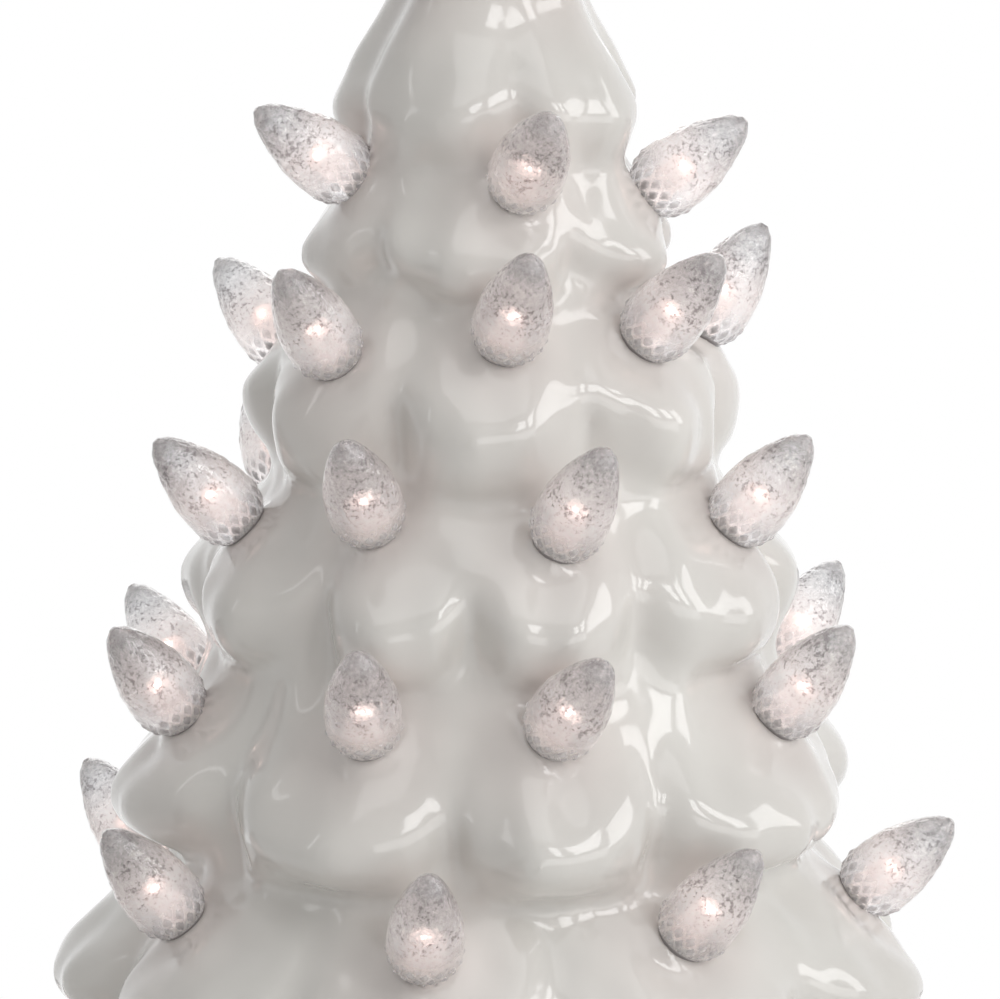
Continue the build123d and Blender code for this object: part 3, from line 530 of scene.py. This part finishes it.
# Painted light: how much of the bulbs' pink glow is painted on, by distance from the nearest seat
put_attribute(shell, "painted_bulb_glow", PAINTED_SPILL_MOST * np.exp(-((nearest / PAINTED_SPILL_REACH) ** 2)))
stand_in(shell, "tree_shell", "tree")

# Glazed base
base_stand = frame["nodes"]["base_stand"].data
base = soft_copy(base_stand, "glazed_base", GLAZE_VOXEL, BASE_ROUNDS, GLAZE)
stand_in(base, "base_stand", "tree")

# Clear moulded star, lit from its lamp
star_topper = frame["nodes"]["star_topper"].data
star = soft_copy(star_topper, "star_lit", STAR_VOXEL, STAR_ROUNDS, STAR_CLEAR)
star_low, star_high = (np.array(corner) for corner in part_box("star_topper"))
star_heart = (star_low + star_high) / 2
star_heart[2] = star_high[2] - STAR_REACH
star_away = np.linalg.norm(read_points(star) - star_heart, axis=1)
put_attribute(star, "glow", np.exp(-((star_away / STAR_GLOW_REACH) ** 2)))
put_attribute(star, "grain", np.full(len(star_away), STAR_GRAIN))
stand_in(star, "star_topper", "star")


def profile_radius(height):
    """Radius of the bulb at a height above its seat, with the corners of its profile eased."""
    heights, radii = zip(*BULB_PROFILE)
    near = [height + step * PROFILE_EASE for step in EASE_STEPS]
    return float(np.interp(near, heights, radii).mean())


def pit_depth(place):
    """Depth of the pits at a place on the bulb."""
    depth = 0.0
    for size, deep in PITS:
        away = noise.voronoi(place / size)[0][0]
        depth += deep * exp(-((away / PIT_WIDTH) ** 2))
    return depth


def facet_shade(lean):
    """Darkness of the dark reflection painted on the facet of the quilt that two leaning counts round the
    bulb fall in.
    """
    facet = Vector((floor(lean[0]) % QUILT_SIDES, floor(lean[1]) % QUILT_SIDES, 0))
    return FACET_LEAST + (1 - FACET_LEAST) * (1 + noise.cell(facet)) / 2


def bulb_form():
    """Points, faces and point values of one bulb: collar dark partly by painted shadow, quilted foot with
    painted dark reflections, pitted flank, smoother tip with painted shade.
    """
    points, glow, shade, grain = [], [], [], []
    for ring in range(BULB_RINGS + 1):
        height = BULB_TOP * (1 - cos(pi * ring / BULB_RINGS)) / 2
        radius = profile_radius(height)
        quilted = smooth_step(*QUILT_IN, height) * (1 - smooth_step(*QUILT_OUT, height))
        pitted = smooth_step(*PITS_IN, height) * (1 - TIP_CALM * smooth_step(*PITS_OUT, height))
        # Collar at the seat: dark partly by its own colour, partly by painted shadow of the seat
        collar = 1 - smooth_step(*COLLAR_OUT, height)
        # Painted shade greying the tip, away from the lamp's glow
        tip = TIP_SHADE * smooth_step(*TIP_IN, height)
        # Painted dark reflections on the facets of the foot, deepest low on the quilt
        darkest_painted_reflection = QUILT_SHADE * quilted * min(1.0, 1 + SHADE_FULL - height / QUILT_TOP)
        upward = QUILT_ROWS * (height - COLLAR_TOP) / (QUILT_TOP - COLLAR_TOP)
        for side in range(BULB_SIDES):
            turn = 2 * pi * side / BULB_SIDES
            around = QUILT_SIDES * side / BULB_SIDES
            lean = (around + upward / 2, around - upward / 2)
            quilt = 1 - max(abs(2 * (step % 1) - 1) for step in lean)
            pits = pit_depth(round_point(radius, turn, height))
            grow = QUILT_DEPTH * quilt * quilted - pits * pitted
            points.append(round_point(radius + grow, turn, height))
            facet = darkest_painted_reflection * facet_shade(lean) * smooth_step(*FACET_RIM, quilt)
            shade.append(max(collar, tip, facet))
        glow += [exp(-(((height - GLOW_HEIGHT) / GLOW_REACH) ** 2))] * BULB_SIDES
        grain += [GRAIN_LEAST + (1 - GRAIN_LEAST) * pitted] * BULB_SIDES
    faces = []
    for ring in range(BULB_RINGS):
        for side in range(BULB_SIDES):
            here = ring * BULB_SIDES + side
            after = ring * BULB_SIDES + (side + 1) % BULB_SIDES
            faces.append((here, after, after + BULB_SIDES, here + BULB_SIDES))
    faces.append(tuple(reversed(range(BULB_SIDES))))
    faces.append(tuple(range(BULB_RINGS * BULB_SIDES, (BULB_RINGS + 1) * BULB_SIDES)))
    return points, faces, {"glow": glow, "shade": shade, "grain": grain}


def turned_form(outline, sides):
    """Points and faces of a closed outline turned round its axis, from foot to tip."""
    points = [Vector((0, 0, outline[0][1]))]
    for radius, height in outline[1:-1]:
        points += [round_point(radius, 2 * pi * side / sides, height) for side in range(sides)]
    points.append(Vector((0, 0, outline[-1][1])))
    last = len(points) - 1
    faces = []
    for side in range(sides):
        after = (side + 1) % sides
        faces.append((0, 1 + after, 1 + side))
        faces.append((last, last - sides + side, last - sides + after))
        for ring in range(len(outline) - 3):
            first = 1 + ring * sides
            faces.append((first + side, first + after, first + sides + after, first + sides + side))
    return points, faces


def lamp_form():
    """Points, faces and glow of one lamp: a domed lens, faint balls of light in it and the spark."""
    quarter = [pi / 2 * ring / LAMP_RINGS for ring in range(LAMP_RINGS + 1)]
    half = [pi * ring / LAMP_RINGS for ring in range(LAMP_RINGS + 1)]
    shoulder = LAMP_FOOT + LAMP_STRAIGHT
    lens = [(0, LAMP_FOOT), (LAMP_RADIUS, LAMP_FOOT)]
    lens += [(LAMP_RADIUS * cos(turn), shoulder + LAMP_RADIUS * sin(turn)) for turn in quarter]
    outlines = [(lens, 0.0)]
    for radius, level in SPARKS:
        ball = [(radius * sin(turn), SPARK_HEIGHT - radius * cos(turn)) for turn in half]
        outlines.append((ball, level))
    points, faces, glow = [], [], []
    for outline, level in outlines:
        first = len(points)
        turned_points, turned_faces = turned_form(outline, LAMP_SIDES)
        points += turned_points
        faces += [tuple(first + corner for corner in face) for face in turned_faces]
        glow += [level] * len(turned_points)
    return points, faces, {"glow": glow}


def place_copies(form, seats):
    """Copies of a form in several frames as one form, each turned on from the one before."""
    points, faces, values = form
    all_points, all_faces = [], []
    for index, seat in enumerate(seats):
        first = len(all_points)
        turned = seat @ Matrix.Rotation(index * COPY_TURN, 4, "Z")
        all_points += [turned @ point for point in points]
        all_faces += [tuple(first + corner for corner in face) for face in faces]
    return all_points, all_faces, {name: row * len(seats) for name, row in values.items()}


# Bulbs and their lamps, one piece a tier, and the lamp under the star
LIT_KINDS = (
    ("bulbs", bulb_form(), "bulb_clear", BULB_CLEAR),
    ("leds", lamp_form(), "led_lens", LAMP),
)
for kind, form, slot, material in LIT_KINDS:
    for tier, seats in SEATS.items():
        mesh = formed_mesh(f"{kind}_{tier}_lit", place_copies(form, seats), material)
        stand_in(mesh, f"{kind}_{tier}", "tree")
star_lamp_seat = Matrix.Translation((0, 0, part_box("star_led")[0][2] - LAMP_FOOT))
star_lamp = formed_mesh("star_led_lit", place_copies(lamp_form(), [star_lamp_seat]), LAMP)
stand_in(star_lamp, "star_led", "tree")


def outward(bearing, rise):
    """Direction away from the tree at a bearing from the front and a rise, in degrees."""
    level = cos(radians(rise))
    return Vector((level * sin(radians(bearing)), -level * cos(radians(bearing)), sin(radians(rise))))


# Camera at the photograph's angle and framing
EYE_DISTANCE = 1.5
EYE_RISE = 10
EYE_NEAR = 0.05
AIM = Vector((0, 0, 0.180))
FRAME_WIDTH = 0.2
FRAME_SHIFT = -0.0035
AXIS_PIXEL = 490
IMAGE_WIDTH = 1000
SENSOR_WIDTH = 36
back = outward(0, EYE_RISE)
eye = bpy.data.cameras.new("eye")
eye.sensor_width = SENSOR_WIDTH
eye.lens = SENSOR_WIDTH * EYE_DISTANCE / FRAME_WIDTH
eye.shift_x = (IMAGE_WIDTH / 2 - AXIS_PIXEL) / IMAGE_WIDTH
eye.shift_y = FRAME_SHIFT
eye.clip_start = EYE_NEAR
camera = bpy.data.objects.new("eye", eye)
camera.location = AIM + back * EYE_DISTANCE
camera.rotation_euler = (-back).to_track_quat("-Z", "Y").to_euler()
bpy.context.scene.collection.objects.link(camera)
bpy.context.scene.camera = camera


def softbox(name, bearing, rise, distance, size, power):
    """Area lamp that looks at the tree from a bearing and rise."""
    lamp = bpy.data.lights.new(name, "AREA")
    lamp.shape = "RECTANGLE"
    lamp.size, lamp.size_y = size
    lamp.energy = power
    holder = bpy.data.objects.new(name, lamp)
    away = outward(bearing, rise)
    holder.location = AIM + away * distance
    holder.rotation_euler = away.to_track_quat("Z", "Y").to_euler()
    bpy.context.scene.collection.objects.link(holder)


# Two window panes from the right and soft fills
softbox("window_left_pane", bearing=30, rise=32, distance=1.5, size=(0.28, 0.58), power=2.2)
softbox("window_right_pane", bearing=52, rise=32, distance=1.5, size=(0.28, 0.58), power=2.2)
softbox("side_fill", bearing=78, rise=24, distance=1.8, size=(0.6, 1.0), power=5.8)
softbox("low_fill", bearing=40, rise=4, distance=1.6, size=(1.8, 0.6), power=4.6)
softbox("top_fill", bearing=10, rise=75, distance=1.8, size=(1.4, 1.4), power=5.6)
softbox("left_strip", bearing=-72, rise=25, distance=1.5, size=(0.10, 0.7), power=0.35)
softbox("back_fill", bearing=178, rise=30, distance=1.8, size=(1.4, 1.4), power=6.0)


def white_when_seen(tree, shade, background):
    """Sends camera, glossy and transmission rays to a background and all other rays to a shade."""
    path = add_node(tree, "ShaderNodeLightPath").outputs
    either = add_math(tree, "MAXIMUM", path["Is Camera Ray"], path["Is Glossy Ray"])
    seen = add_math(tree, "MAXIMUM", either, path["Is Transmission Ray"])
    mix = add_node(tree, "ShaderNodeMixShader")
    tree.links.new(seen, mix.inputs["Fac"])
    tree.links.new(shade, mix.inputs[1])
    tree.links.new(background, mix.inputs[2])
    return mix.outputs["Shader"]


# White surround that lights the tree softly
world = bpy.data.worlds.new("surround")
world.use_nodes = True
bpy.context.scene.world = world
sky = world.node_tree
ambient = sky.nodes["Background"]
set_values(ambient, {"Color": (1.0, 0.985, 0.97, 1), "Strength": 0.31})
white = add_node(sky, "ShaderNodeBackground", {"Color": (1, 1, 1, 1), "Strength": 1.0})
surround = white_when_seen(sky, ambient.outputs["Background"], white.outputs["Background"])
sky.links.new(surround, sky.nodes["World Output"].inputs["Surface"])

# Round floor: keeps the shadow near the tree and goes over into the white surround
FLOOR_RADIUS = 1.4
FLOOR_SIDES = 96
SHADOW_REACH = (0.10, 0.30)
WHITE_LEAST = 0.45


def floor_material():
    """Pale matt floor that whitens away from the tree where it is seen."""
    material, tree, shader = new_material("floor", {"Base Color": (0.9, 0.9, 0.9, 1), "Roughness": 0.8})
    glare = add_node(tree, "ShaderNodeEmission", {"Strength": 1.0})
    place = add_node(tree, "ShaderNodeTexCoord")
    away = add_node(tree, "ShaderNodeVectorMath", operation="LENGTH")
    fade = add_node(tree, "ShaderNodeMapRange", {
        "From Min": SHADOW_REACH[0], "From Max": SHADOW_REACH[1], "To Min": WHITE_LEAST, "To Max": 1.0,
    }, interpolation_type="SMOOTHSTEP")
    blend = add_node(tree, "ShaderNodeMixShader")
    tree.links.new(place.outputs["Object"], away.inputs[0])
    tree.links.new(away.outputs["Value"], fade.inputs["Value"])
    tree.links.new(fade.outputs["Result"], blend.inputs["Fac"])
    tree.links.new(shader.outputs["BSDF"], blend.inputs[1])
    tree.links.new(glare.outputs["Emission"], blend.inputs[2])
    seen = white_when_seen(tree, shader.outputs["BSDF"], blend.outputs["Shader"])
    tree.links.new(seen, tree.nodes["Material Output"].inputs["Surface"])
    return material


rim = [round_point(FLOOR_RADIUS, 2 * pi * side / FLOOR_SIDES, 0) for side in range(FLOOR_SIDES)]
ground = formed_mesh("floor", (rim, [tuple(range(FLOOR_SIDES))], {}), floor_material())
floor_piece = bpy.data.objects.new("floor", ground)
bpy.context.scene.collection.objects.link(floor_piece)

bpy.context.scene.view_settings.view_transform = "Standard"
